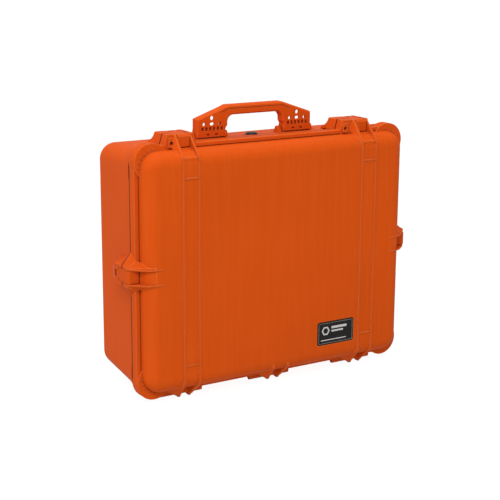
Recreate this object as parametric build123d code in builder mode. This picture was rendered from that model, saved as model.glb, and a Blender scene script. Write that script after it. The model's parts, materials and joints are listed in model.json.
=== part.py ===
"""Hard equipment case: base, hinged lid, four claw latches, folding handle and purge valve.

Millimetres. X is the width, the lid faces -Y, +Z is up. The case stands on its hinge side, and the
origin is at the bottom centre of its bounding box.
"""
from build123d import *
import os

# ---- overall shape ----
CENTRE_Z = 243.0            # height of the case's middle above the ground
FACE_Y = -108.5             # flat front of the lid
PARTING_Y = -59.5           # plane where lid and base meet
BACK_Y = 105.0              # flat back of the base
RIB_FRONT_Y = -110.0        # tips of the raised lid ribs
FOOT_BACK_Y = 110.0         # tips of the ribs on the back

FLANGE_HALF = (292.0, 230.0)     # half width and half height of the rim
FLANGE_CORNER = 36.0
LID_FLANGE_DEPTH = 16.5
BASE_LIP_DEPTH = 5.0
SHUT_LINE_WIDTH = 1.6            # narrow groove all round between lid and base
SHUT_LINE_DEPTH = 2.2

DOME_HALF = (283.0, 222.0)       # lid dome where it leaves the rim
DOME_DRAFT = 1.5
DOME_CORNER = 32.0
DOME_EDGE_RADIUS = 26.0
CHANNEL_WIDTH = 1.6
CHANNEL_DEPTH = 1.5
LID_WALL = 5.0
LID_CAVITY_HALF = (278.5, 216.5)
LID_CAVITY_CORNER = 27.0

BASE_LIP_HALF = (290.0, 228.0)   # outer base wall at the lip
BASE_BACK_HALF = (278.0, 214.0)  # outer base wall at the back
BASE_CORNER = 32.0
BASE_EDGE_RADIUS = 22.0
BASE_CAVITY_LIP_HALF = (282.5, 220.5)
BASE_CAVITY_BACK_HALF = (272.5, 208.5)
BASE_CAVITY_CORNER = 26.0
BASE_FLOOR = 5.0

BUMPER_RADIUS = 34.0
BUMPER_OFFSET = (259.2, 202.2)   # bumper centres from the case's middle
BUMPER_PROUD = 4.0               # how far a bumper stands in front of the rim
BUMPER_STEP = 2.6                # the base's bumpers are smaller than the lid's by this much
BUMPER_BACK_LENGTH = 42.0

TICK_COUNT = 6
TICK_HEIGHT = 2.6

# ---- seal ----
SEAL_HALF = (285.5, 223.5)       # centre line of the gasket
SEAL_CORNER = 33.0
SEAL_GROOVE_WIDTH = 5.0
SEAL_GROOVE_DEPTH = 4.5
GASKET_WIDTH = 4.6
RIDGE_WIDTH = 2.4
RIDGE_HEIGHT = 1.6
SEAL_GAP = 0.15

# ---- rib pairs and stations ----
STATION_X = 195.0                # latches, outer hinges and rib pairs
RIB_OFFSET = 16.0
RIB_WIDTH = 3.4
LEDGE_Z = 173.0
TOP_CREST = 18.5                 # height of the latch housings above the rim
SIDE_CREST = 17.5
SLOT_HALF = 12.6                 # half width of the slot that a latch lies in
FIN_THICKNESS = 3.6
HOUSING_SPAN = {"top_left": (31.0, 22.0), "top_right": (41.0, 17.6)}   # left and right of the latch
HOUSING_FLARE = 6.0
HINGE_FIN = 9.2                  # inner face of a hinge fin
HINGE_FIN_FOOT = 34.0
TOP_FIN_FACE = -19.0             # where a fin meets the lid's face, from the rim
SIDE_FIN_FACE = -25.0
SIDE_HOUSING_TOP = 18.8
SIDE_HOUSING_FOOT = 42.0
SIDE_FIN_FOOT = 27.0
# each stretch of a housing on the base: start, end, crest at its end, and side foot at both ends
HOUSING_STEPS = ((0, 30, None, 42.0, 26.0), (30, 48, -1.0, 26.0, 24.0))
# a thin tip that carries a side fin over the dome's edge onto the face, in (t, h)
SIDE_FIN_TIP = ((-16.5, 17.5), (-34, 0.5), (-44.5, -11.5), (-49.3, -22), (-50.2, -38), (-48, -40),
                (-40, -34), (-16.5, -6))
TOP_FLANK = 8.0                  # how far a top fin's outer flank spreads towards the padlock hole

# ---- latch, in (t, h): t from the parting plane towards the back, h out from the rim ----
PIVOT = (22.0, 5.0)
CLAW_PIVOT = (22.0, 13.0)
LATCH_HALF = 12.0
TONGUE_HALF = 6.2
LATCH_PIN_RADIUS = 2.2
CLAW_PIN_RADIUS = 1.6
PIN_CLEARANCE = 0.05
KEEPER = (-15.0, -8.0, 10.0)     # front, back and height of the bar that the claw holds

# ---- hinge ----
HINGE_H = 6.6                    # axis distance outside the rim
KNUCKLE_RADIUS = 6.3
KNUCKLE_RELIEF = 6.9
HINGE_HALF = 44.0
LID_KNUCKLE_HALF = 18.0
HINGE_PIN_RADIUS = 2.5
HINGE_XS = (-STATION_X, 0.0, STATION_X)

# ---- handle ----
HANDLE_HALF = 126.7
HANDLE_TOP = 283.0               # above the case's middle
SHOULDER_TOP = 260.0
GRIP_HALF = 60.0
GRIP_BOTTOM = 264.5
HANDLE_FRONT_Y = -8.0
PLATE_BACK_Y = 9.0
GRIP_BACK_Y = 14.0
HANDLE_BEVEL = 2.8
WEB_THICKNESS = 4.5
GROOVE_HEIGHT = 277.0            # upper edge of the groove along the grip
GROOVE_END = (77.0, 270.0)       # its outer ends: X, and height above the case's middle
GROOVE_WIDTH = 1.4
HANDLE_AXIS = (6.5, 229.5)       # Y, and height above the case's middle
BARREL_RADIUS = 6.5
HANDLE_PIN_RADIUS = 2.5
EAR_RADIUS = 5.2
PLATE_INNER = 64.5
GAP_HALF = 60.5
PLATE_MIDDLE = 94.5
SKIRT_BOTTOM = 224.8             # the plates hide their barrels in front down to here

# ---- purge valve ----
VALVE_Y = 6.0
VALVE_PAD_TOP = 219.8            # flat seat above the case's middle
VALVE_STEM_RADIUS = 8.0
VALVE_NUT_DROP = -10.2           # top of the nut, from the seat

# ---- nameplate ----
PLATE_CENTRE = (124.5, -160.0)   # X, and height from the case's middle
PLATE_SIZE = (84.0, 45.0)
PLATE_DEPTH = 1.2

# ---- padlock holes ----
PADLOCK_U = {"top_left": -23.5, "top_right": -36.0}   # along the rim from the latch's middle
PADLOCK_H = 2.6
PADLOCK_RADIUS = 3.4
BUSH_RADIUS = 4.9
BASE_BUSH_LENGTH = 26.0
PAD_FRONT = 3.0                  # thickness of plastic in front of the lid's bush

os.makedirs("parts", exist_ok=True)


class Station:
    """A place on the rim where a latch or hinge sits, with its own axes."""

    def __init__(self, name, origin, outward, crest=TOP_CREST):
        self.name = name
        self.origin = Vector(*origin)
        self.outward = Vector(*outward)
        self.along = Vector(0, 1, 0).cross(self.outward)
        self.crest = crest

    def profile(self, u=0.0):
        """Plane across the rim: local x runs towards the back and local y outwards."""
        return Plane(self.origin + self.along * u, x_dir=(0, 1, 0), z_dir=self.along)

    def section(self, t=0.0):
        """Plane facing the front: local x runs along the rim and local y outwards."""
        return Plane(self.origin + Vector(0, t, 0), x_dir=self.along, z_dir=(0, -1, 0))

    def point(self, t, h, u=0.0):
        """The place t behind the parting plane, h outside the rim and u along it."""
        return self.origin + Vector(0, t, 0) + self.outward * h + self.along * u


def on_face(y):
    """Plane parallel to the lid's face at depth y, centred on the case, facing the front."""
    return Plane((0, y, CENTRE_Z), x_dir=(1, 0, 0), z_dir=(0, -1, 0))


def shrunk(half, by):
    """Half sizes made smaller all round."""
    return (half[0] - by, half[1] - by)


def outline(points):
    """Closed straight-sided outline on the current sketch."""
    with BuildLine() as edge:
        Polyline(*points, close=True)
    make_face(edge.edges())


def rounded_section(y, half, corner):
    """Rounded rectangle across the case at depth y."""
    with BuildSketch(on_face(y)) as section:
        RectangleRounded(2 * half[0], 2 * half[1], corner)
    return section.sketch


def seal_ring(y, width):
    """Ring that follows the seal line at depth y."""
    with BuildSketch(on_face(y)) as ring:
        RectangleRounded(2 * SEAL_HALF[0] + width, 2 * SEAL_HALF[1] + width, SEAL_CORNER + width / 2)
        RectangleRounded(2 * SEAL_HALF[0] - width, 2 * SEAL_HALF[1] - width, SEAL_CORNER - width / 2,
                         mode=Mode.SUBTRACT)
    return ring.sketch


def rod(plane, centre, radius, half_length, mode=Mode.ADD):
    """Round bar square to the plane, equally long on both sides of it."""
    with BuildSketch(plane) as disc:
        with Locations(centre):
            Circle(radius)
    extrude(disc.sketch, amount=half_length, both=True, mode=mode)


def block_pair(station, u_near, u_far, points, mode=Mode.ADD):
    """The same (t, h) outline on both sides of a station, from u_near to u_far."""
    for near in (u_near, -u_far):
        with BuildSketch(station.profile(near)) as side_face:
            outline(points)
        extrude(side_face.sketch, amount=u_far - u_near, mode=mode)


TOP_STATIONS = [
    Station("top_left", (-STATION_X, PARTING_Y, CENTRE_Z + FLANGE_HALF[1]), (0, 0, 1)),
    Station("top_right", (STATION_X, PARTING_Y, CENTRE_Z + FLANGE_HALF[1]), (0, 0, 1)),
]
SIDE_STATIONS = [
    Station("side_left", (-FLANGE_HALF[0], PARTING_Y, CENTRE_Z), (-1, 0, 0), SIDE_CREST),
    Station("side_right", (FLANGE_HALF[0], PARTING_Y, CENTRE_Z), (1, 0, 0), SIDE_CREST),
]
LATCHES = TOP_STATIONS + SIDE_STATIONS
HINGES = [
    Station(f"hinge_{i + 1}", (x, PARTING_Y, CENTRE_Z - FLANGE_HALF[1]), (0, 0, -1), 13.0)
    for i, x in enumerate(HINGE_XS)
]


def housing_section(station, side, crest, depth=-8.0, side_foot=SIDE_HOUSING_FOOT):
    """Half of a housing's outline across the rim: broad on top of the case, a ramp at its sides."""
    if station.name in HOUSING_SPAN:
        top = HOUSING_SPAN[station.name][0 if side < 0 else 1]
        foot = top + HOUSING_FLARE
    else:
        top, foot = SIDE_HOUSING_TOP, side_foot
    return [(side * u, h) for u, h in
            ((SLOT_HALF, depth), (SLOT_HALF, crest), (top, crest), (foot, -1.0), (foot, depth))]


def horn_sections(station, side):
    """Outlines of one fin at the rim and at the lid's face; between them it tapers like a horn."""
    rib_near, rib_far = RIB_OFFSET - RIB_WIDTH / 2, RIB_OFFSET + RIB_WIDTH / 2
    face_height = SIDE_FIN_FACE if station in SIDE_STATIONS else TOP_FIN_FACE
    if station in HINGES:
        near, far, tip, foot = HINGE_FIN, HINGE_FIN + FIN_THICKNESS, HINGE_FIN + 2, HINGE_FIN_FOOT
    else:
        near, far, tip = SLOT_HALF + 0.3, SLOT_HALF + FIN_THICKNESS, SLOT_HALF + FIN_THICKNESS
        foot = SIDE_FIN_FOOT
        if station in TOP_STATIONS:
            foot = far + (TOP_FLANK if side < 0 else 1)
    rim = ((near, -6), (near, station.crest), (tip, station.crest), (foot, -1), (foot, -6))
    face = ((rib_near, -34), (rib_near, face_height), (rib_far, face_height),
            (rib_far + 0.5, face_height - 3), (rib_far + 0.5, -34))
    return rim, face


# ================= lid =================
with BuildPart() as lid_cavity:
    loft([rounded_section(PARTING_Y + 0.5, LID_CAVITY_HALF, LID_CAVITY_CORNER),
          rounded_section(FACE_Y + LID_WALL, shrunk(LID_CAVITY_HALF, DOME_DRAFT), LID_CAVITY_CORNER)])
    fillet(lid_cavity.faces().sort_by(Axis.Y)[0].edges(), DOME_EDGE_RADIUS - LID_WALL)

with BuildPart() as lid_shell:
    # rim, dome and rounded front edge
    extrude(rounded_section(PARTING_Y, FLANGE_HALF, FLANGE_CORNER), amount=LID_FLANGE_DEPTH)
    loft([rounded_section(PARTING_Y - LID_FLANGE_DEPTH + 1, DOME_HALF, DOME_CORNER),
          rounded_section(FACE_Y, shrunk(DOME_HALF, DOME_DRAFT), DOME_CORNER)])
    fillet(lid_shell.faces().sort_by(Axis.Y)[0].edges(), DOME_EDGE_RADIUS)

    # shadow channel between rim and dome
    with BuildSketch(on_face(PARTING_Y - LID_FLANGE_DEPTH)):
        RectangleRounded(2 * (DOME_HALF[0] + CHANNEL_WIDTH), 2 * (DOME_HALF[1] + CHANNEL_WIDTH),
                         DOME_CORNER + CHANNEL_WIDTH)
        RectangleRounded(2 * DOME_HALF[0], 2 * DOME_HALF[1], DOME_CORNER, mode=Mode.SUBTRACT)
    extrude(amount=-CHANNEL_DEPTH, mode=Mode.SUBTRACT)

    # corner bumpers with a rounded front edge
    with BuildSketch(on_face(PARTING_Y)):
        with GridLocations(2 * BUMPER_OFFSET[0], 2 * BUMPER_OFFSET[1], 2, 2):
            Circle(BUMPER_RADIUS)
    extrude(amount=LID_FLANGE_DEPTH + BUMPER_PROUD)

    # short moulded ticks between the bumpers and the dome
    for sx, sz, first_angle in ((1, 1, 0), (-1, 1, 90), (-1, -1, 180), (1, -1, 270)):
        with BuildSketch(on_face(PARTING_Y - LID_FLANGE_DEPTH - BUMPER_PROUD + 1)):
            with Locations((sx * (DOME_HALF[0] - DOME_CORNER), sz * (DOME_HALF[1] - DOME_CORNER))):
                with PolarLocations(DOME_CORNER + 2.5, TICK_COUNT, start_angle=first_angle + 8,
                                    angular_range=74, endpoint=True):
                    Rectangle(6, 1.6)
        extrude(amount=TICK_HEIGHT)

    # rib pairs over the full height of the face, with the small ledges between them
    with BuildSketch(on_face(FACE_Y + 1)):
        with Locations(*[(sx * STATION_X + su * RIB_OFFSET, 0) for sx in (-1, 1) for su in (-1, 1)]):
            Rectangle(RIB_WIDTH, 2 * (DOME_HALF[1] - 14))
    extrude(amount=FACE_Y + 1 - RIB_FRONT_Y)
    with BuildSketch(on_face(FACE_Y + 1)):
        with Locations(*[(sx * STATION_X, sz * LEDGE_Z) for sx in (-1, 1) for sz in (-1, 1)]):
            Rectangle(2 * RIB_OFFSET, 2.6)
    extrude(amount=FACE_Y + 1 - RIB_FRONT_Y)

    # fins that rise from the face to the rim at each latch and hinge
    for station in LATCHES + HINGES:
        for side in (-1, 1):
            rim, face = horn_sections(station, side)
            with BuildSketch(station.section(-LID_FLANGE_DEPTH)):
                outline([(side * u, h) for u, h in rim])
            with BuildSketch(station.section(FACE_Y + 1 - PARTING_Y)):
                outline([(side * u, h) for u, h in face])
            loft(ruled=True)

    # thin tips that carry the side fins onto the face
    for station in SIDE_STATIONS:
        block_pair(station, SLOT_HALF + 0.3, SLOT_HALF + 2.6, SIDE_FIN_TIP)

    # sloping panels between the fins, below each claw
    for station in LATCHES:
        face_height = SIDE_FIN_FACE if station in SIDE_STATIONS else TOP_FIN_FACE
        with BuildSketch(station.profile()):
            outline([(-16, -30), (-16, -7.5), (-21.2, -6.2), (FACE_Y + 1 - PARTING_Y, face_height - 1.5),
                     (FACE_Y + 1 - PARTING_Y, -30)])
        extrude(amount=SLOT_HALF + 1, both=True)

    # latch housings on the rim, and the bar that each claw holds
    for station in LATCHES:
        for side in (-1, 1):
            with BuildSketch(station.section(0)):
                outline(housing_section(station, side, station.crest))
            with BuildSketch(station.section(-LID_FLANGE_DEPTH)):
                outline(housing_section(station, side, station.crest, side_foot=SIDE_FIN_FOOT))
            loft(ruled=True)
        keeper_front, keeper_back, keeper_height = KEEPER
        with BuildSketch(station.profile()):
            outline([(keeper_front, -3), (keeper_front, keeper_height - 2),
                     (keeper_front + 2, keeper_height), (keeper_back, keeper_height), (keeper_back, -3)])
        extrude(amount=SLOT_HALF + 0.5, both=True)

    # raised pads round the padlock holes
    for station in TOP_STATIONS:
        with BuildSketch(station.section(-LID_FLANGE_DEPTH + 2)):
            with Locations((PADLOCK_U[station.name], PADLOCK_H + 1)):
                Rectangle(11.6, 18)
        extrude(amount=5)

    # hinge arms and knuckles
    for station in HINGES:
        with BuildSketch(station.profile()):
            outline([(-LID_FLANGE_DEPTH, -4), (-LID_FLANGE_DEPTH, 6), (0, HINGE_H), (0, -4)])
        extrude(amount=LID_KNUCKLE_HALF, both=True)
        block_pair(station, HINGE_FIN, HINGE_FIN + FIN_THICKNESS,
                   [(-LID_FLANGE_DEPTH - 1, -4), (-LID_FLANGE_DEPTH - 1, 12.5), (-12, 13), (-0.5, 11),
                    (-0.5, -4)])
        rod(station.profile(), (0, HINGE_H), KNUCKLE_RADIUS, LID_KNUCKLE_HALF)

    add(lid_cavity.part, mode=Mode.SUBTRACT)

    # seal groove, nameplate recess, padlock holes and hinge clearances
    extrude(seal_ring(PARTING_Y, SEAL_GROOVE_WIDTH), amount=SEAL_GROOVE_DEPTH, mode=Mode.SUBTRACT)
    with BuildSketch(on_face(FACE_Y)):
        with Locations(PLATE_CENTRE):
            RectangleRounded(PLATE_SIZE[0] + 2.4, PLATE_SIZE[1] + 2.4, 5.2)
    extrude(amount=-PLATE_DEPTH, mode=Mode.SUBTRACT)
    for station in TOP_STATIONS:
        place = (PADLOCK_U[station.name], PADLOCK_H)
        rod(station.section(), place, PADLOCK_RADIUS, 25, mode=Mode.SUBTRACT)
        rod(station.section(), place, BUSH_RADIUS, LID_FLANGE_DEPTH - PAD_FRONT, mode=Mode.SUBTRACT)
    for station in HINGES:
        for side in (-1, 1):
            middle = side * (HINGE_HALF + LID_KNUCKLE_HALF + 0.9) / 2
            rod(station.profile(middle), (0, HINGE_H), KNUCKLE_RELIEF,
                (HINGE_HALF - LID_KNUCKLE_HALF) / 2, mode=Mode.SUBTRACT)
        rod(station.profile(), (0, HINGE_H), HINGE_PIN_RADIUS + PIN_CLEARANCE, HINGE_HALF + 3,
            mode=Mode.SUBTRACT)
lid_shell.part.label = "lid_shell"

# ================= base =================
with BuildPart() as base_cavity:
    loft([rounded_section(PARTING_Y - 0.5, BASE_CAVITY_LIP_HALF, BASE_CAVITY_CORNER + 2),
          rounded_section(BACK_Y - BASE_FLOOR, BASE_CAVITY_BACK_HALF, BASE_CAVITY_CORNER)])
    fillet(base_cavity.faces().sort_by(Axis.Y)[-1].edges(), BASE_EDGE_RADIUS - BASE_FLOOR)

with BuildPart() as base_shell:
    # drafted body with a rounded back edge
    loft([rounded_section(PARTING_Y, BASE_LIP_HALF, BASE_CORNER + 2),
          rounded_section(BACK_Y, BASE_BACK_HALF, BASE_CORNER - 2)])
    fillet(base_shell.faces().sort_by(Axis.Y)[-1].edges(), BASE_EDGE_RADIUS)

    # lip, and bumpers that fade into the corners
    extrude(rounded_section(PARTING_Y, FLANGE_HALF, FLANGE_CORNER), amount=-BASE_LIP_DEPTH)
    for sx in (-1, 1):
        for sz in (-1, 1):
            with BuildSketch(on_face(PARTING_Y)):
                with Locations((sx * BUMPER_OFFSET[0], sz * BUMPER_OFFSET[1])):
                    Circle(BUMPER_RADIUS - BUMPER_STEP)
            with BuildSketch(on_face(PARTING_Y + BUMPER_BACK_LENGTH)):
                with Locations((sx * (BUMPER_OFFSET[0] - 6), sz * (BUMPER_OFFSET[1] - 6))):
                    Circle(BUMPER_RADIUS - 4)
            loft()

    # groove round the lip where it meets the lid
    with BuildSketch(on_face(PARTING_Y)):
        RectangleRounded(2 * FLANGE_HALF[0] + 40, 2 * FLANGE_HALF[1] + 40, FLANGE_CORNER)
        RectangleRounded(2 * (FLANGE_HALF[0] - SHUT_LINE_DEPTH), 2 * (FLANGE_HALF[1] - SHUT_LINE_DEPTH),
                         FLANGE_CORNER - SHUT_LINE_DEPTH, mode=Mode.SUBTRACT)
        with Locations(*[(sx * BUMPER_OFFSET[0], sz * BUMPER_OFFSET[1]) for sx in (-1, 1) for sz in (-1, 1)]):
            Circle(BUMPER_RADIUS - BUMPER_STEP - 1, mode=Mode.SUBTRACT)
    extrude(amount=-SHUT_LINE_WIDTH, mode=Mode.SUBTRACT)

    # latch housings that slope away towards the back
    for station in LATCHES:
        for side in (-1, 1):
            for near, far, far_crest, near_foot, far_foot in HOUSING_STEPS:
                with BuildSketch(station.section(near)):
                    outline(housing_section(station, side, station.crest, side_foot=near_foot))
                with BuildSketch(station.section(far)):
                    outline(housing_section(station, side, far_crest or station.crest,
                                            side_foot=far_foot))
                loft(ruled=True)

    # hinge knuckles and the webs that carry them
    for station in HINGES:
        block_pair(station, LID_KNUCKLE_HALF + 0.5, HINGE_HALF,
                   [(0, -4), (0, HINGE_H), (KNUCKLE_RADIUS - 0.5, HINGE_H), (18, -4)])
        for side in (-1, 1):
            middle = side * (LID_KNUCKLE_HALF + 0.5 + HINGE_HALF) / 2
            rod(station.profile(middle), (0, HINGE_H), KNUCKLE_RADIUS,
                (HINGE_HALF - LID_KNUCKLE_HALF - 0.5) / 2)

    # runners on the hinge side, so that the case stands level
    for station in (HINGES[0], HINGES[-1]):
        block_pair(station, RIB_OFFSET - 3.5, RIB_OFFSET + 3.5,
                   [(30, -5), (36, 13), (146, 13), (158, -8), (158, -22), (30, -8)])

    # rib pairs on the back
    with BuildSketch(on_face(BACK_Y - 1)):
        with Locations(*[(sx * STATION_X + su * RIB_OFFSET, 0) for sx in (-1, 1) for su in (-1, 1)]):
            Rectangle(7, 2 * (BASE_BACK_HALF[1] - BASE_EDGE_RADIUS))
    extrude(amount=BACK_Y - 1 - FOOT_BACK_Y)

    # handle ears and the seat of the purge valve
    for side in (-1, 1):
        for inner, outer in ((PLATE_INNER - 8.5, PLATE_INNER - 1), (HANDLE_HALF + 0.8, HANDLE_HALF + 8.3)):
            start = side * inner
            with BuildSketch(Plane((start, 0, CENTRE_Z), x_dir=(0, 1, 0), z_dir=(1, 0, 0))):
                with Locations(HANDLE_AXIS):
                    Circle(EAR_RADIUS)
                outline([(HANDLE_AXIS[0] - 13, 217), (HANDLE_AXIS[0] - EAR_RADIUS, HANDLE_AXIS[1] + 1),
                         (HANDLE_AXIS[0] + EAR_RADIUS, HANDLE_AXIS[1] + 1), (HANDLE_AXIS[0] + 13, 217)])
            extrude(amount=side * (outer - inner))
    with BuildSketch(Plane.XY.offset(CENTRE_Z + VALVE_PAD_TOP)):
        with Locations((0, VALVE_Y)):
            Circle(17)
    extrude(amount=-8, taper=-12)
    with BuildSketch(Plane.XY.offset(CENTRE_Z + VALVE_PAD_TOP)):
        with Locations((0, VALVE_Y)):
            Circle(15.5)
    extrude(amount=6, mode=Mode.SUBTRACT)

    add(base_cavity.part, mode=Mode.SUBTRACT)

    # ridge that presses the gasket
    extrude(seal_ring(PARTING_Y + 0.5, RIDGE_WIDTH), amount=RIDGE_HEIGHT + 0.5)

    # holes for pins, bushes and the valve, and clearance for the lid's knuckles
    for station in LATCHES:
        rod(station.profile(), PIVOT, LATCH_PIN_RADIUS + PIN_CLEARANCE, SLOT_HALF + 4, mode=Mode.SUBTRACT)
    for station in TOP_STATIONS:
        place = (PADLOCK_U[station.name], PADLOCK_H)
        rod(station.section(), place, PADLOCK_RADIUS, 60, mode=Mode.SUBTRACT)
        rod(station.section(), place, BUSH_RADIUS, BASE_BUSH_LENGTH + 0.5, mode=Mode.SUBTRACT)
    for station in HINGES:
        rod(station.profile(), (0, HINGE_H), KNUCKLE_RELIEF, LID_KNUCKLE_HALF + 0.5, mode=Mode.SUBTRACT)
        rod(station.profile(), (0, HINGE_H), HINGE_PIN_RADIUS + PIN_CLEARANCE, HINGE_HALF - 2,
            mode=Mode.SUBTRACT)
    for side in (-1, 1):
        with BuildSketch(Plane((side * (PLATE_INNER - 7), 0, CENTRE_Z), x_dir=(0, 1, 0), z_dir=(1, 0, 0))):
            with Locations(HANDLE_AXIS):
                Circle(HANDLE_PIN_RADIUS + PIN_CLEARANCE)
        extrude(amount=side * (HANDLE_HALF - PLATE_INNER + 14), mode=Mode.SUBTRACT)
    with BuildSketch(Plane.XY.offset(CENTRE_Z + VALVE_PAD_TOP + 1)):
        with Locations((0, VALVE_Y)):
            Circle(VALVE_STEM_RADIUS + PIN_CLEARANCE)
    extrude(amount=-30, mode=Mode.SUBTRACT)
base_shell.part.label = "base_shell"

# ================= gasket =================
with BuildPart() as lid_gasket:
    extrude(seal_ring(PARTING_Y - RIDGE_HEIGHT - SEAL_GAP, GASKET_WIDTH),
            amount=SEAL_GROOVE_DEPTH - RIDGE_HEIGHT - SEAL_GAP)
lid_gasket.part.label = "lid_gasket"

parts = [lid_shell.part, base_shell.part, lid_gasket.part]

# ================= hinge pins =================
for station in HINGES:
    with BuildPart() as hinge_pin:
        rod(station.profile(), (0, HINGE_H), HINGE_PIN_RADIUS, HINGE_HALF - 2.5)
        chamfer(hinge_pin.edges().filter_by(GeomType.CIRCLE), 0.5)
    hinge_pin.part.label = f"{station.name}_pin"
    parts.append(hinge_pin.part)

# ================= latches =================
LEVER_OUTLINE = [(16.5, 1.5), (27, -0.5), (31, 2.5), (45, 4), (49, 8), (48, 12.5), (32, 17.8), (18, 17.8),
                 (16, 14.5)]
for station in LATCHES:
    with BuildPart() as lever:
        with BuildSketch(station.profile()):
            outline(LEVER_OUTLINE)
        extrude(amount=LATCH_HALF, both=True)
        fillet(lever.edges().filter_by(lambda e: abs(e.tangent_at(0.5).dot(station.along)) > 0.99)
               .sort_by(lambda e: (e.center() - station.origin).Y)[-3:], 1.4)
        with BuildSketch(station.profile()):
            with Locations((20, 8)):
                Rectangle(21, 30)
        extrude(amount=TONGUE_HALF + 0.4, both=True, mode=Mode.SUBTRACT)
        rod(station.profile(), PIVOT, LATCH_PIN_RADIUS + PIN_CLEARANCE, LATCH_HALF + 1, mode=Mode.SUBTRACT)
        rod(station.profile(), CLAW_PIVOT, CLAW_PIN_RADIUS + PIN_CLEARANCE, LATCH_HALF - 1.5,
            mode=Mode.SUBTRACT)
    lever.part.label = f"latch_lever_{station.name}"

    with BuildPart() as claw:
        # broad plate with its hook, then the narrow tongue that reaches the pin
        with BuildSketch(station.profile()):
            outline([(13, 13), (-14, 13), (-16.8, 10.5), (-16.8, -4.5), (-21, -4.5), (-21.5, 14),
                     (-18, 18), (13, 18)])
        extrude(amount=LATCH_HALF, both=True)
        fillet(claw.edges().filter_by(lambda e: abs(e.tangent_at(0.5).Y) > 0.99)
               .filter_by(lambda e: (e.center() - station.origin).dot(station.outward) > 17.5), 1.2)
        with BuildSketch(station.profile()):
            outline([(10, 13), (10, 18), (22, 18), (22, 8.5), (17, 10)])
            with Locations(CLAW_PIVOT):
                Circle(4.9)
        extrude(amount=TONGUE_HALF, both=True)
        rod(station.profile(), CLAW_PIVOT, CLAW_PIN_RADIUS + PIN_CLEARANCE, LATCH_HALF, mode=Mode.SUBTRACT)
    claw.part.label = f"latch_claw_{station.name}"

    with BuildPart() as pivot_pin:
        rod(station.profile(), PIVOT, LATCH_PIN_RADIUS, SLOT_HALF + 3.5)
    pivot_pin.part.label = f"latch_pivot_pin_{station.name}"

    with BuildPart() as claw_pin:
        rod(station.profile(), CLAW_PIVOT, CLAW_PIN_RADIUS, LATCH_HALF - 1.7)
    claw_pin.part.label = f"latch_claw_pin_{station.name}"
    parts += [lever.part, claw.part, pivot_pin.part, claw_pin.part]

# ================= handle =================
def across_handle(y):
    """Plane across the handle, seen from in front, with heights from the case's middle."""
    return Plane((0, y, CENTRE_Z), x_dir=(1, 0, 0), z_dir=(0, -1, 0))


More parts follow.
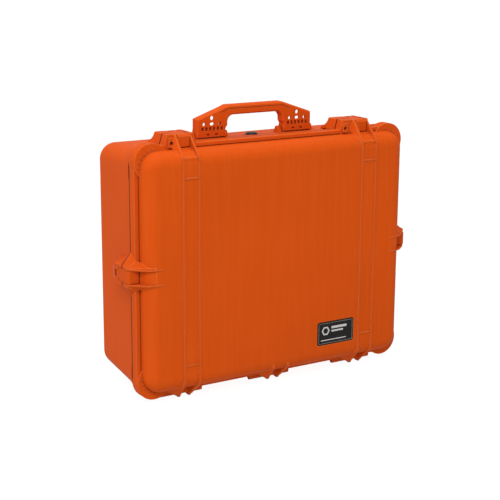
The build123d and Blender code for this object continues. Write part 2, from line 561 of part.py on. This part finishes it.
with BuildPart() as handle:
    # end plates joined by the grip, bevelled all round in front
    with BuildSketch(across_handle(PLATE_BACK_Y)) as handle_outline:
        outline([(-HANDLE_HALF, 229), (-HANDLE_HALF, SHOULDER_TOP), (-GRIP_HALF, HANDLE_TOP),
                 (GRIP_HALF, HANDLE_TOP), (HANDLE_HALF, SHOULDER_TOP), (HANDLE_HALF, 229)])
        fillet(handle_outline.vertices().sort_by(Axis.Z)[2:], 5)
        with BuildSketch(mode=Mode.PRIVATE) as finger_gap:
            outline([(-PLATE_INNER, 220), (-PLATE_INNER, 240), (-GAP_HALF, 246), (-GAP_HALF, GRIP_BOTTOM),
                     (GAP_HALF, GRIP_BOTTOM), (GAP_HALF, 246), (PLATE_INNER, 240), (PLATE_INNER, 220)])
            fillet(finger_gap.vertices().group_by(Axis.Y)[-1], 13)
        add(finger_gap.sketch, mode=Mode.SUBTRACT)
    extrude(amount=PLATE_BACK_Y - HANDLE_FRONT_Y - HANDLE_BEVEL)
    extrude(handle.faces().sort_by(Axis.Y)[0], amount=HANDLE_BEVEL, taper=45)

    # grip, thicker towards the back
    with BuildSketch(across_handle(GRIP_BACK_Y)):
        outline([(-78, 275.8), (-GRIP_HALF, HANDLE_TOP), (GRIP_HALF, HANDLE_TOP), (78, 275.8), (68, 262),
                 (48, GRIP_BOTTOM), (-48, GRIP_BOTTOM), (-68, 262)])
    extrude(amount=GRIP_BACK_Y - PLATE_BACK_Y + 2)
    fillet(handle.edges().group_by(Axis.Y)[-1], 4)

    # hinge barrels
    for side in (-1, 1):
        with BuildSketch(Plane((side * PLATE_INNER, 0, CENTRE_Z), x_dir=(0, 1, 0), z_dir=(1, 0, 0))):
            with Locations(HANDLE_AXIS):
                Circle(BARREL_RADIUS)
            outline([(HANDLE_FRONT_Y, 226), (HANDLE_FRONT_Y + 1, SKIRT_BOTTOM), (-1, SKIRT_BOTTOM),
                     (2, 229.5), (13, 229.5), (PLATE_BACK_Y, 242), (HANDLE_FRONT_Y + HANDLE_BEVEL, 236),
                     (HANDLE_FRONT_Y, 233)])
        extrude(amount=side * (HANDLE_HALF - PLATE_INNER))
        with BuildSketch(Plane((side * (PLATE_INNER - 1), 0, CENTRE_Z), x_dir=(0, 1, 0), z_dir=(1, 0, 0))):
            with Locations(HANDLE_AXIS):
                Circle(HANDLE_PIN_RADIUS + PIN_CLEARANCE)
        extrude(amount=side * (HANDLE_HALF - PLATE_INNER + 2), mode=Mode.SUBTRACT)

    # shallow groove along the front of the grip
    with BuildSketch(across_handle(HANDLE_FRONT_Y)):
        outline([(-GROOVE_END[0], GROOVE_END[1] - GROOVE_WIDTH), (-GRIP_HALF, GROOVE_HEIGHT - GROOVE_WIDTH),
                 (GRIP_HALF, GROOVE_HEIGHT - GROOVE_WIDTH), (GROOVE_END[0], GROOVE_END[1] - GROOVE_WIDTH),
                 GROOVE_END, (GRIP_HALF, GROOVE_HEIGHT), (-GRIP_HALF, GROOVE_HEIGHT),
                 (-GROOVE_END[0], GROOVE_END[1])])
    extrude(amount=-1.3, mode=Mode.SUBTRACT)

    # pockets behind, which leave a thin web with holes and a row of slots
    with BuildSketch(across_handle(PLATE_BACK_Y)):
        for side in (-1, 1):
            outline([(side * u, h) for u, h in
                     ((PLATE_INNER + 6, 237.5), (HANDLE_HALF - 5, 237.5), (HANDLE_HALF - 5, 256.5), (86, 269),
                      (PLATE_INNER + 6, 258))])
    extrude(amount=PLATE_BACK_Y - HANDLE_FRONT_Y - WEB_THICKNESS, mode=Mode.SUBTRACT)
    with BuildSketch(across_handle(PLATE_BACK_Y)):
        for side in (-1, 1):
            middle = side * PLATE_MIDDLE
            with Locations((middle, 261)):
                Circle(4.2)
            with Locations((middle - 17, 250), (middle + 17, 250)):
                Circle(3.4)
            with Locations((middle, 250)):
                SlotOverall(10, 5.8)
            with Locations(*[(middle + 8.2 * (i - 2.5), 241) for i in range(6)]):
                Rectangle(4.9, 7.4)
    extrude(amount=PLATE_BACK_Y - HANDLE_FRONT_Y + 1, mode=Mode.SUBTRACT)
    with BuildSketch(across_handle(HANDLE_FRONT_Y + 3)):
        for side in (-1, 1):
            with Locations(*[(side * PLATE_MIDDLE + u, 230.5) for u in (-9, 9)]):
                Rectangle(6, 3.2)
    extrude(amount=4, mode=Mode.SUBTRACT)
handle.part.label = "handle"
parts.append(handle.part)

for side, name in ((-1, "left"), (1, "right")):
    with BuildPart() as handle_pin:
        with BuildSketch(Plane((side * (PLATE_INNER - 6.5), 0, CENTRE_Z), x_dir=(0, 1, 0), z_dir=(1, 0, 0))):
            with Locations(HANDLE_AXIS):
                Circle(HANDLE_PIN_RADIUS)
        extrude(amount=side * (HANDLE_HALF - PLATE_INNER + 13))
        chamfer(handle_pin.edges().filter_by(GeomType.CIRCLE), 0.5)
    handle_pin.part.label = f"handle_pin_{name}"
    parts.append(handle_pin.part)

# ================= purge valve =================
SEAT = Plane((0, VALVE_Y, CENTRE_Z + VALVE_PAD_TOP), x_dir=(1, 0, 0), z_dir=(0, 0, 1))
with BuildPart() as purge_valve_body:
    with BuildSketch(SEAT.offset(1.2)):
        Circle(14)
    extrude(amount=1.4)
    with BuildSketch(SEAT.offset(1.2)):
        Circle(VALVE_STEM_RADIUS)
    extrude(amount=-18)
    with BuildSketch(SEAT.offset(2.6)):
        Circle(3.05)
    extrude(amount=-8, mode=Mode.SUBTRACT)
purge_valve_body.part.label = "purge_valve_body"

with BuildPart() as purge_valve_ring:
    with BuildSketch(SEAT.offset(0.1)):
        Circle(12.5)
        Circle(VALVE_STEM_RADIUS + 0.4, mode=Mode.SUBTRACT)
    extrude(amount=1.0)
purge_valve_ring.part.label = "purge_valve_ring"

with BuildPart() as purge_valve_knob:
    with BuildSketch(SEAT.offset(2.9)):
        Circle(11.5)
    extrude(amount=3.2, taper=20)
    fillet(purge_valve_knob.faces().sort_by(Axis.Z)[-1].edges(), 1.2)
    with BuildSketch(SEAT.offset(6.5)):
        Rectangle(13, 2.2)
    extrude(amount=-1.6, mode=Mode.SUBTRACT)
    with BuildSketch(SEAT.offset(3)):
        Circle(3.0)
    extrude(amount=-6.5)
purge_valve_knob.part.label = "purge_valve_knob"

with BuildPart() as purge_valve_nut:
    with BuildSketch(SEAT.offset(VALVE_NUT_DROP)):
        RegularPolygon(12.5, 6)
        Circle(VALVE_STEM_RADIUS + PIN_CLEARANCE, mode=Mode.SUBTRACT)
    extrude(amount=-5)
purge_valve_nut.part.label = "purge_valve_nut"
parts += [purge_valve_body.part, purge_valve_ring.part, purge_valve_knob.part, purge_valve_nut.part]

# ================= nameplate =================
with BuildPart() as nameplate:
    with BuildSketch(on_face(FACE_Y + PLATE_DEPTH - 0.1)):
        with Locations(PLATE_CENTRE):
            RectangleRounded(PLATE_SIZE[0], PLATE_SIZE[1], 4)
    extrude(amount=1.4)
nameplate.part.label = "nameplate"
parts.append(nameplate.part)

# ================= padlock bushes =================
for name, start, length in (("lid", PAD_FRONT - LID_FLANGE_DEPTH, LID_FLANGE_DEPTH - PAD_FRONT - 0.3),
                            ("base", 0.3, BASE_BUSH_LENGTH)):
    with BuildPart() as bushes:
        for station in TOP_STATIONS:
            with BuildSketch(station.section(start)):
                with Locations((PADLOCK_U[station.name], PADLOCK_H)):
                    Circle(BUSH_RADIUS - PIN_CLEARANCE)
                    Circle(PADLOCK_RADIUS, mode=Mode.SUBTRACT)
            extrude(amount=-length)
    bushes.part.label = f"{name}_padlock_bushes"
    parts.append(bushes.part)

for piece in parts:
    export_step(piece, f"parts/{piece.label}.step")
    print(f"{piece.label}: {len(piece.solids())} solid, {piece.volume / 1000:.1f} cm3, {piece.is_valid}")
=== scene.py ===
"""The looks of the hard equipment case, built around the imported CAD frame. Metres throughout."""
import bmesh
import bpy
import json
import math
from mathutils import Matrix, Vector


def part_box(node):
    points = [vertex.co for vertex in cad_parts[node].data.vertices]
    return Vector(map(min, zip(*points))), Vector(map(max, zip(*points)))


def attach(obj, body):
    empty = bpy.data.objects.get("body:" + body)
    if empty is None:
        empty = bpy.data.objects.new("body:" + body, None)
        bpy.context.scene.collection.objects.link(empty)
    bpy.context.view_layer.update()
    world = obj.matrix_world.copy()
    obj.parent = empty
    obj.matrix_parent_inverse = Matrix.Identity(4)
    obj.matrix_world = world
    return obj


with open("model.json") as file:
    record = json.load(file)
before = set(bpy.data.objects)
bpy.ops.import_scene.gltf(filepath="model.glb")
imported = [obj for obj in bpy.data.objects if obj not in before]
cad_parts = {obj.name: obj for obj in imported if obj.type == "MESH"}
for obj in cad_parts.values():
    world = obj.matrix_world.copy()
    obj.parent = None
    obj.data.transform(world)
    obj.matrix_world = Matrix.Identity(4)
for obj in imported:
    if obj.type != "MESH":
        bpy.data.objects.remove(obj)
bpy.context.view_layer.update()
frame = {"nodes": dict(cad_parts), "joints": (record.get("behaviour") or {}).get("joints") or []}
NODES = frame["nodes"]

# ---- places read from the frame ----
LID_LOW, LID_HIGH = (Vector(v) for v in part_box("lid_shell"))
AIM_DROP = 0.0035                # how far below the middle of the lid's box the views are centred
RIB_HEIGHT = 0.0015              # the lid's ribs stand this far in front of its face
CENTRE_Z = (LID_LOW.z + LID_HIGH.z) / 2 - AIM_DROP
FACE_Y = LID_LOW.y + RIB_HEIGHT
PARTING_Y = next(joint["pos_m"][1] for joint in frame["joints"] if joint["name"] == "lid_hinge")
GROOVE_SHADE = 0.0044             # how far behind the parting the painted shade in the groove reaches
BUMPER_SHADE = 0.0085             # the same behind the lid's bumpers, which hide the nearest part
BUMPER_INNER = (0.232, 0.172)    # where the bumpers begin, out from the middle in X and Z
BUMPER_FADE = 0.004              # the painted shade widens over this distance where a bumper begins
SHADE_START = 0.0004              # the painted shade sets in over this distance in front of the parting

# ---- camera: the side of the case that is seen, in degrees and metres ----
VIEW_AZIMUTH = 31.86
VIEW_DROP = 13.67
VIEW_ROLL = 0.34
VIEW_DISTANCE = 2.377
VIEW_LENS = 91.4
VIEW_RIGHT = -0.0619
VIEW_UP = 0.0194

# ---- studio ----
WORLD_LIGHT = 0.64               # light from all round; the backdrop itself stays white
FLOOR_SIZE = 60
FLOOR_GLOW = 0.5
FLOOR_CLEARNESS = 0.88           # the pale floor lets the opened lid show where it swings below it
LIGHTS = (                       # name, place, size, power
    ("key_light", (-1.5, -2.0, 2.3), 1.2, 52),
    ("side_light", (-2.6, 0.4, 0.9), 1.4, 11),
    ("top_light", (0.2, 0.3, 2.6), 1.6, 24),
)

# ---- colours and node groups ----
ORANGE = (0.61, 0.075, 0.005, 1)
# lighter orange for the flow streaks, and on edges for rubbed wear and painted highlight
ORANGE_WEAR_AND_HIGHLIGHT = (0.88, 0.22, 0.06, 1)
# dark orange for the painted shade in corners and behind the parting
ORANGE_SHADE = (0.10, 0.006, 0.003, 1)
LATCH_ORANGE = (0.59, 0.071, 0.005, 1)
STEEL_BRIGHT = (0.62, 0.62, 0.63, 1)
STEEL_STAINED = (0.4, 0.39, 0.38, 1)
INK = (0.55, 0.53, 0.50, 1)
INK_RUBBED = (0.12, 0.11, 0.10, 1)
STATIONS = ("top_left", "top_right", "side_left", "side_right")

# ---- marks on the nameplate ----
BORDER_INSET = 0.0022
BORDER_WIDTH = 0.0003
EMBLEM_PLACE = (-0.56, 0.22)     # in half widths and half heights from the middle
EMBLEM_RADII = (0.0094, 0.0062)
BARS = (                         # left end, right end, height in the same units; half thickness
    (-0.24, 0.62, 0.46, 0.0024),
    (-0.24, 0.42, 0.14, 0.0017),
    (-0.82, 0.60, -0.62, 0.0009),
)
PRINT_LIFT = 0.0001
PRINT_DEPTH = 0.0002


def set_camera():
    """Camera that looks down on the lid from the case's left."""
    azimuth, drop, roll = (math.radians(a) for a in (VIEW_AZIMUTH, VIEW_DROP, VIEW_ROLL))
    look = Vector((math.sin(azimuth) * math.cos(drop),
                   math.cos(azimuth) * math.cos(drop),
                   -math.sin(drop)))
    level = Vector((math.cos(azimuth), -math.sin(azimuth), 0))
    up = level.cross(look)
    right = math.cos(roll) * level + math.sin(roll) * up
    up = math.cos(roll) * up - math.sin(roll) * level
    place = Vector((0, FACE_Y, CENTRE_Z)) + VIEW_RIGHT * right + VIEW_UP * up - VIEW_DISTANCE * look
    camera = bpy.data.objects.new("camera", bpy.data.cameras.new("camera"))
    camera.data.lens = VIEW_LENS
    camera.data.clip_end = 50
    camera.matrix_world = Matrix.Translation(place) @ Matrix((right, up, -look)).transposed().to_4x4()
    bpy.context.scene.collection.objects.link(camera)
    bpy.context.scene.camera = camera


def area_light(name, place, target, size, power):
    """Soft white square light."""
    data = bpy.data.lights.new(name, "AREA")
    data.shape = "SQUARE"
    data.size = size
    data.energy = power
    light = bpy.data.objects.new(name, data)
    light.location = place
    light.rotation_euler = (Vector(target) - Vector(place)).to_track_quat("-Z", "Y").to_euler()
    bpy.context.scene.collection.objects.link(light)


def set_world():
    """White backdrop that gives a weaker light than it shows."""
    world = bpy.data.worlds.new("studio")
    world.use_nodes = True
    background = world.node_tree.nodes["Background"]
    background.inputs["Color"].default_value = (1, 1, 1, 1)
    ray = world.node_tree.nodes.new("ShaderNodeLightPath")
    level = world.node_tree.nodes.new("ShaderNodeMapRange")
    level.inputs["To Min"].default_value = WORLD_LIGHT
    level.inputs["To Max"].default_value = 1.0
    world.node_tree.links.new(ray.outputs["Is Camera Ray"], level.inputs["Value"])
    world.node_tree.links.new(level.outputs["Result"], background.inputs["Strength"])
    bpy.context.scene.world = world
    bpy.context.scene.view_settings.view_transform = "Standard"


def set_lights():
    """Soft light from the front left, from the left and from above."""
    for name, place, size, power in LIGHTS:
        area_light(name, place, (0, 0, CENTRE_Z), size, power)


def set_floor():
    """Pale, mostly clear floor."""
    bpy.ops.mesh.primitive_plane_add(size=FLOOR_SIZE, location=(0, 0, 0))
    floor = bpy.context.object
    floor.name = "floor"
    material = bpy.data.materials.new("pale_floor")
    material.use_nodes = True
    tree = material.node_tree
    shader = tree.nodes["Principled BSDF"]
    shader.inputs["Base Color"].default_value = (0.9, 0.9, 0.9, 1)
    shader.inputs["Roughness"].default_value = 0.9
    shader.inputs["Specular IOR Level"].default_value = 0.0
    shader.inputs["Emission Color"].default_value = (1, 1, 1, 1)
    shader.inputs["Emission Strength"].default_value = FLOOR_GLOW
    clear = tree.nodes.new("ShaderNodeBsdfTransparent")
    blend = tree.nodes.new("ShaderNodeMixShader")
    blend.inputs["Fac"].default_value = FLOOR_CLEARNESS
    tree.links.new(shader.outputs["BSDF"], blend.inputs[1])
    tree.links.new(clear.outputs["BSDF"], blend.inputs[2])
    tree.links.new(blend.outputs["Shader"], tree.nodes["Material Output"].inputs["Surface"])
    floor.data.materials.append(material)


class Shader:
    """A small helper for writing node materials."""

    def __init__(self, name):
        self.material = bpy.data.materials.new(name)
        self.material.use_nodes = True
        self.tree = self.material.node_tree
        self.surface = self.tree.nodes["Principled BSDF"]
        coordinates = self.node("ShaderNodeTexCoord")
        self.place = coordinates.outputs["Object"]
        self.facing = coordinates.outputs["Normal"]

    def node(self, kind, **inputs):
        """New node whose named inputs are values or links."""
        node = self.tree.nodes.new(kind)
        for name, value in inputs.items():
            self.put(node.inputs[name.replace("_", " ")], value)
        return node

    def put(self, socket, value):
        """Sets a socket to a value, or links another socket to it."""
        if isinstance(value, bpy.types.NodeSocket):
            self.tree.links.new(value, socket)
        else:
            socket.default_value = value

    def stretched(self, scale):
        """Object coordinates scaled on each axis."""
        return self.node("ShaderNodeMapping", Vector=self.place, Scale=scale).outputs["Vector"]

    def noise(self, scale, detail=2.0, vector=None, roughness=0.5):
        """Noise from 0 to 1."""
        node = self.node("ShaderNodeTexNoise", Vector=vector or self.place, Scale=scale, Detail=detail,
                         Roughness=roughness)
        return node.outputs["Fac"]

    def span(self, value, low, high, to_low=0.0, to_high=1.0):
        """Maps low..high to new limits and clamps."""
        node = self.node("ShaderNodeMapRange", Value=value)
        limits = {"From Min": low, "From Max": high, "To Min": to_low, "To Max": to_high}
        for name, number in limits.items():
            node.inputs[name].default_value = number
        return node.outputs["Result"]

    def maths(self, operation, first, second=0.0):
        """One arithmetic step."""
        node = self.tree.nodes.new("ShaderNodeMath")
        node.operation = operation
        self.put(node.inputs[0], first)
        self.put(node.inputs[1], second)
        return node.outputs[0]

    def mix(self, factor, first, second):
        """Mixes two colours."""
        node = self.tree.nodes.new("ShaderNodeMix")
        node.data_type = "RGBA"
        self.put(node.inputs["Factor"], factor)
        self.put(node.inputs["A"], first)
        self.put(node.inputs["B"], second)
        return node.outputs["Result"]

    def bump(self, height, strength, distance, normal=None):
        """Bump map; several can be chained through normal."""
        node = self.node("ShaderNodeBump", Height=height, Strength=strength, Distance=distance)
        if normal:
            self.put(node.inputs["Normal"], normal)
        return node.outputs["Normal"]

    def edges(self, radius):
        """Mask that is 1 on sharp edges and 0 on flat stretches."""
        bevel = self.node("ShaderNodeBevel", Radius=radius)
        geometry = self.node("ShaderNodeNewGeometry")
        dot = self.tree.nodes.new("ShaderNodeVectorMath")
        dot.operation = "DOT_PRODUCT"
        self.put(dot.inputs[0], bevel.outputs["Normal"])
        self.put(dot.inputs[1], geometry.outputs["Normal"])
        return self.span(dot.outputs["Value"], 1.0, 0.86), bevel.outputs["Normal"]

    def corner_shade(self, distance):
        """Mask for painted shade: 1 deep in a corner and 0 in the open."""
        occlusion = self.node("ShaderNodeAmbientOcclusion", Distance=distance)
        occlusion.samples = 8
        return self.span(occlusion.outputs["AO"], 0.72, 0.3)

    def parting_shade(self, y):
        """Mask for the painted shade behind the parting at depth y, wider at the bumpers, on outward
        faces.
        """
        split = self.node("ShaderNodeSeparateXYZ", Vector=self.place)
        behind = self.maths("SUBTRACT", split.outputs["Y"], y)
        across = self.maths("ABSOLUTE", split.outputs["X"])
        upright = self.maths("ABSOLUTE", self.maths("SUBTRACT", split.outputs["Z"], CENTRE_Z))
        corner = self.maths("MULTIPLY",
                            self.span(across, BUMPER_INNER[0], BUMPER_INNER[0] + BUMPER_FADE),
                            self.span(upright, BUMPER_INNER[1], BUMPER_INNER[1] + BUMPER_FADE))
        reach = self.maths("ADD", self.maths("MULTIPLY", corner, BUMPER_SHADE - GROOVE_SHADE), GROOVE_SHADE)
        facing = self.node("ShaderNodeSeparateXYZ", Vector=self.facing)
        turned = self.maths("ABSOLUTE", facing.outputs["Y"])
        mask = self.span(self.maths("DIVIDE", behind, reach), 0.55, 1.0, 1.0, 0.0)
        mask = self.maths("MULTIPLY", mask, self.span(behind, -SHADE_START, 0.0))
        return self.maths("MULTIPLY", mask, self.span(turned, 0.5, 0.9, 1.0, 0.0))


def moulded_plastic(name, colour, wear_and_highlight, shade_colour, grain_depth, edge_radius, roughness=0.46, groove_y=None):
    """Satin moulded plastic with a pebbled grain, flow streaks, edges lightened as rubbed wear and
    painted highlight, painted shade in its corners and, with groove_y, painted shade behind the parting.
    """
    s = Shader(name)
    lighter_edges, soft_normal = s.edges(edge_radius)
    patches = s.noise(5.0, 3.0)
    streaks = s.noise(1.0, 4.0, s.stretched((150, 150, 7)), 0.6)
    pebbles = s.noise(900.0, 2.0, roughness=0.6)
    tone = s.mix(s.span(patches, 0.35, 0.65, 0.0, 0.5), colour, [c * 0.88 for c in colour[:3]] + [1])
    tone = s.mix(s.span(streaks, 0.4, 0.7, 0.0, 0.05), tone, wear_and_highlight)
    # edges lightened: rubbed wear and painted highlight
    tone = s.mix(s.maths("MULTIPLY", lighter_edges, s.span(patches, 0.3, 0.7, 0.6, 0.95)), tone, wear_and_highlight)
    # painted shade: corners and grooves found by ambient occlusion are darkened towards the dark orange
    tone = s.mix(s.maths("MULTIPLY", s.corner_shade(0.006), 0.6), tone, shade_colour)
    # painted shade along the parting line, reaching further behind the bumpers
    if groove_y is not None:
        tone = s.mix(s.maths("MULTIPLY", s.parting_shade(groove_y), 0.9), tone, shade_colour)
    s.put(s.surface.inputs["Base Color"], tone)
    s.put(s.surface.inputs["Roughness"], s.span(pebbles, 0.3, 0.7, roughness - 0.05, roughness + 0.09))
    s.surface.inputs["Specular IOR Level"].default_value = 0.05
    s.surface.inputs["IOR"].default_value = 1.3
    height = s.maths("ADD", pebbles, s.maths("MULTIPLY", streaks, 0.1))
    s.put(s.surface.inputs["Normal"], s.bump(height, 0.5, grain_depth, soft_normal))
    return s.material


def black_plastic(name, colour, grey, roughness):
    """Black moulded plastic or rubber with dust and rubbed edges."""
    s = Shader(name)
    lighter_edges, soft_normal = s.edges(0.0006)
    dust = s.noise(60.0, 4.0)
    grain = s.noise(1400.0, 2.0)
    tone = s.mix(s.span(dust, 0.5, 0.8, 0.0, 0.25), colour, grey)
    tone = s.mix(s.maths("MULTIPLY", lighter_edges, 0.6), tone, grey)
    s.put(s.surface.inputs["Base Color"], tone)
    s.put(s.surface.inputs["Roughness"], s.span(dust, 0.3, 0.7, roughness - 0.08, roughness + 0.1))
    s.surface.inputs["Specular IOR Level"].default_value = 0.2
    s.put(s.surface.inputs["Normal"], s.bump(grain, 0.4, 0.0002, soft_normal))
    return s.material


def steel(name, roughness):
    """Bright steel with turning marks."""
    s = Shader(name)
    s.surface.inputs["Metallic"].default_value = 1.0
    turned = s.noise(1.0, 3.0, s.stretched((1500, 200, 200)))
    stains = s.noise(120.0, 3.0)
    s.put(s.surface.inputs["Base Color"], s.mix(s.span(stains, 0.4, 0.7), STEEL_BRIGHT, STEEL_STAINED))
    s.put(s.surface.inputs["Roughness"], s.span(turned, 0.3, 0.7, roughness - 0.08, roughness + 0.12))
    s.put(s.surface.inputs["Normal"], s.bump(turned, 0.25, 0.0001))
    return s.material


def printed_ink(name):
    """Silver print with small gaps where it is rubbed away."""
    s = Shader(name)
    speckle = s.noise(2600.0, 3.0)
    cloud = s.noise(90.0, 2.0)
    s.put(s.surface.inputs["Base Color"], s.mix(s.span(speckle, 0.56, 0.7, 0.0, 0.7), INK, INK_RUBBED))
    s.put(s.surface.inputs["Roughness"], s.span(cloud, 0.3, 0.7, 0.34, 0.52))
    return s.material


def prisms(name, outlines, front, depth):
    """One mesh of flat upright prisms; an outline is a list of (x, z), or a pair of them for a ring."""
    verts, faces = [], []

    def add_ring(points, y):
        start = len(verts)
        verts.extend((x, y, z) for x, z in points)
        return list(range(start, start + len(points)))

    def join(first, second):
        for i in range(len(first)):
            j = (i + 1) % len(first)
            faces.append((first[i], first[j], second[j], second[i]))

    for shape in outlines:
        if isinstance(shape, tuple):
            outer, inner = shape
            fronts = add_ring(outer, front), add_ring(inner, front)
            backs = add_ring(outer, front + depth), add_ring(inner, front + depth)
            join(fronts[0], fronts[1])
            join(fronts[1], backs[1])
            join(backs[1], backs[0])
            join(backs[0], fronts[0])
        else:
            near, far = add_ring(shape, front), add_ring(shape, front + depth)
            faces.append(near)
            faces.append(far[::-1])
            join(far, near)
    mesh = bpy.data.meshes.new(name)
    mesh.from_pydata(verts, [], faces)
    mesh.validate()
    edit = bmesh.new()
    edit.from_mesh(mesh)
    bmesh.ops.recalc_face_normals(edit, faces=edit.faces)
    edit.to_mesh(mesh)
    edit.free()
    piece = bpy.data.objects.new(name, mesh)
    bpy.context.scene.collection.objects.link(piece)
    return piece


def polygon(centre, radius, sides):
    """Corners of a regular polygon."""
    angles = [math.tau * i / sides for i in range(sides)]
    return [(centre[0] + radius * math.cos(a), centre[1] + radius * math.sin(a)) for a in angles]


def rounded_box(centre, half, corner, steps=6):
    """Corners of a rectangle with rounded corners."""
    points = []
    for sx, sz, first in ((1, 1, 0), (-1, 1, 90), (-1, -1, 180), (1, -1, 270)):
        for i in range(steps + 1):
            angle = math.radians(first + 90 * i / steps)
            points.append((centre[0] + sx * (half[0] - corner) + corner * math.cos(angle),
                           centre[1] + sz * (half[1] - corner) + corner * math.sin(angle)))
    return points


def nameplate_print():
    """Plain marks on the nameplate: a border, a hexagon ring and bars where words would be."""
    low, high = (Vector(v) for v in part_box("nameplate"))
    middle = ((low.x + high.x) / 2, (low.z + high.z) / 2)
    half = ((high.x - low.x) / 2, (high.z - low.z) / 2)

    def at(u, v):
        return middle[0] + u * half[0], middle[1] + v * half[1]

    def bar(u0, u1, v, thick):
        centre = at((u0 + u1) / 2, v)
        return rounded_box(centre, ((u1 - u0) / 2 * half[0], thick), thick * 0.4, 2)

    def border(inset, corner):
        return rounded_box(middle, (half[0] - inset, half[1] - inset), corner)

    emblem = at(*EMBLEM_PLACE)
    marks = [(border(BORDER_INSET, BORDER_INSET),
              border(BORDER_INSET + BORDER_WIDTH, BORDER_INSET - BORDER_WIDTH)),
             tuple(polygon(emblem, radius, 6) for radius in EMBLEM_RADII)]
    marks += [bar(*ends) for ends in BARS]
    piece = prisms("nameplate_print", marks, low.y - PRINT_LIFT, PRINT_DEPTH)
    piece.data.materials.append(printed_ink("nameplate_ink"))
    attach(piece, "lid")


def dress(material, *names):
    """Gives CAD nodes a better material."""
    for name in names:
        mesh = NODES[name].data
        mesh.materials.clear()
        mesh.materials.append(material)


set_camera()
set_world()
set_lights()
set_floor()

dress(moulded_plastic("case_plastic", ORANGE, ORANGE_WEAR_AND_HIGHLIGHT, ORANGE_SHADE, 0.00035, 0.0018,
                      groove_y=PARTING_Y),
      "base_shell", "lid_shell")
dress(moulded_plastic("latch_plastic", LATCH_ORANGE, ORANGE_WEAR_AND_HIGHLIGHT, ORANGE_SHADE, 0.0002, 0.0009, 0.4),
      *[f"latch_{part}_{s}" for part in ("lever", "claw") for s in STATIONS])
dress(moulded_plastic("handle_plastic", LATCH_ORANGE, ORANGE_WEAR_AND_HIGHLIGHT, ORANGE_SHADE, 0.0003, 0.001),
      "handle")
dress(black_plastic("valve_plastic", (0.012, 0.012, 0.013, 1), (0.07, 0.07, 0.07, 1), 0.42),
      "purge_valve_body", "purge_valve_knob", "purge_valve_nut")
dress(black_plastic("seal_rubber", (0.014, 0.014, 0.014, 1), (0.05, 0.05, 0.05, 1), 0.7),
      "lid_gasket", "purge_valve_ring")
dress(black_plastic("nameplate_film", (0.008, 0.007, 0.007, 1), (0.03, 0.028, 0.025, 1), 0.5),
      "nameplate")
dress(steel("steel_pin", 0.3), "hinge_1_pin", "hinge_2_pin", "hinge_3_pin", "handle_pin_left",
      "handle_pin_right", *[f"latch_{part}_pin_{s}" for part in ("pivot", "claw") for s in STATIONS])
dress(steel("steel_bush", 0.38), "lid_padlock_bushes", "base_padlock_bushes")

nameplate_print()
